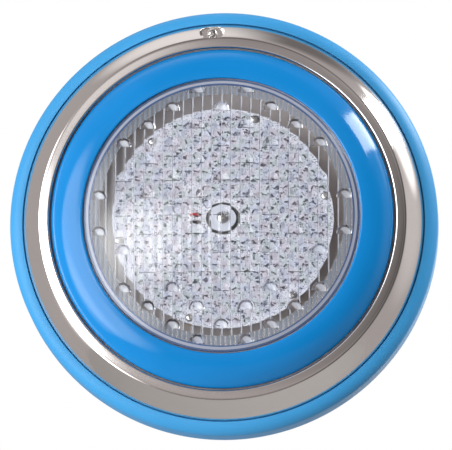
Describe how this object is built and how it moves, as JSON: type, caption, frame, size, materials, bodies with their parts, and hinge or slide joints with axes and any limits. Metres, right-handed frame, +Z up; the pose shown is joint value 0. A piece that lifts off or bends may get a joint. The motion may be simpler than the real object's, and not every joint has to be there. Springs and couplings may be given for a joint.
{
  "type": "underwater pool light",
  "caption": "Round wall-hung underwater pool light: a domed lens with LEDs behind it in a blue bezel and steel trim ring, hooked onto a blue wall base.",
  "frame": {"origin": "centre of the wall screw circle, in the plane of the wall that the base is screwed to", "axes": "+Y into the wall, the lamp faces -Y, +Z up, +X to the right as the lamp is looked at from the front"},
  "size_m": [0.29, 0.0666, 0.29],
  "materials": {
    "blue_base_plastic": "gloss",
    "blue_bezel_plastic": "gloss",
    "grey_shell_plastic": "satin",
    "light_grey_plastic": "satin",
    "polished_steel": "polished",
    "plain_steel": "satin",
    "screw_steel": "satin",
    "brass": "satin",
    "nickel_brass": "satin",
    "clear_lens": "clear",
    "black_rubber": "matte",
    "aluminium_plate": "satin",
    "white_board": "satin",
    "led_resin_red": "gloss",
    "led_resin_green": "gloss",
    "led_resin_blue": "gloss",
    "chip_black": "satin",
    "green_board": "satin",
    "capacitor_sleeve": "gloss",
    "ferrite": "matte",
    "terminal_green": "satin",
    "lead_red": "satin",
    "lead_black": "satin",
    "white_nylon": "satin"
  },
  "bodies": {
    "wall_base": {"wall_base": "blue_base_plastic", "pilot_insert": "brass"},
    "lamp_unit": {"rear_shell": "grey_shell_plastic", "trim_ring": "polished_steel", "ring_tabs": "plain_steel", "tab_screws": "screw_steel", "hook_plate": "plain_steel", "hook_screws": "screw_steel", "bezel_ring": "blue_bezel_plastic", "bezel_screws": "screw_steel", "lens": "clear_lens", "lens_gasket": "black_rubber", "heat_spreader": "aluminium_plate", "led_board": "white_board", "red_leds": "led_resin_red", "green_leds": "led_resin_green", "blue_leds": "led_resin_blue", "board_resistors": "chip_black", "board_spacers": "brass", "board_screws": "screw_steel", "centre_grommet": "black_rubber", "centre_bush": "light_grey_plastic", "centre_screw": "screw_steel", "driver_board": "green_board", "driver_standoffs": "brass", "driver_screws": "screw_steel", "rectifier": "chip_black", "capacitors": "capacitor_sleeve", "inductor": "ferrite", "controller_chip": "chip_black", "power_transistors": "chip_black", "terminal_block": "terminal_green", "red_lead": "lead_red", "black_lead": "lead_black", "gland_body": "nickel_brass", "gland_sealing_washer": "black_rubber", "gland_locknut": "nickel_brass", "gland_seal": "black_rubber", "gland_nut": "nickel_brass"},
    "pilot_washer": {"pilot_washer": "white_nylon"},
    "pilot_screw": {"pilot_screw": "screw_steel"}
  },
  "joints": [
    {"name": "lamp_tilt", "type": "hinge", "parent": "wall_base", "child": "lamp_unit", "pos_m": [0, -0.0272, -0.1353], "axis": [1, 0, 0], "range_deg": [0, 35]},
    {"name": "pilot_screw_lift", "type": "slide", "parent": "lamp_unit", "child": "pilot_washer", "axis": [0, -1, 0], "range_m": [0, 0.007]},
    {"name": "pilot_screw_turn", "type": "hinge", "parent": "pilot_washer", "child": "pilot_screw", "pos_m": [-0.0072, -0.0324, 0.1285], "axis": [0, -1, 0], "range_deg": [0, 3601]}
  ],
  "couplings": [
    {"joint": "pilot_screw_turn", "follows": "pilot_screw_lift", "rad_per_m": 8976}
  ]
}
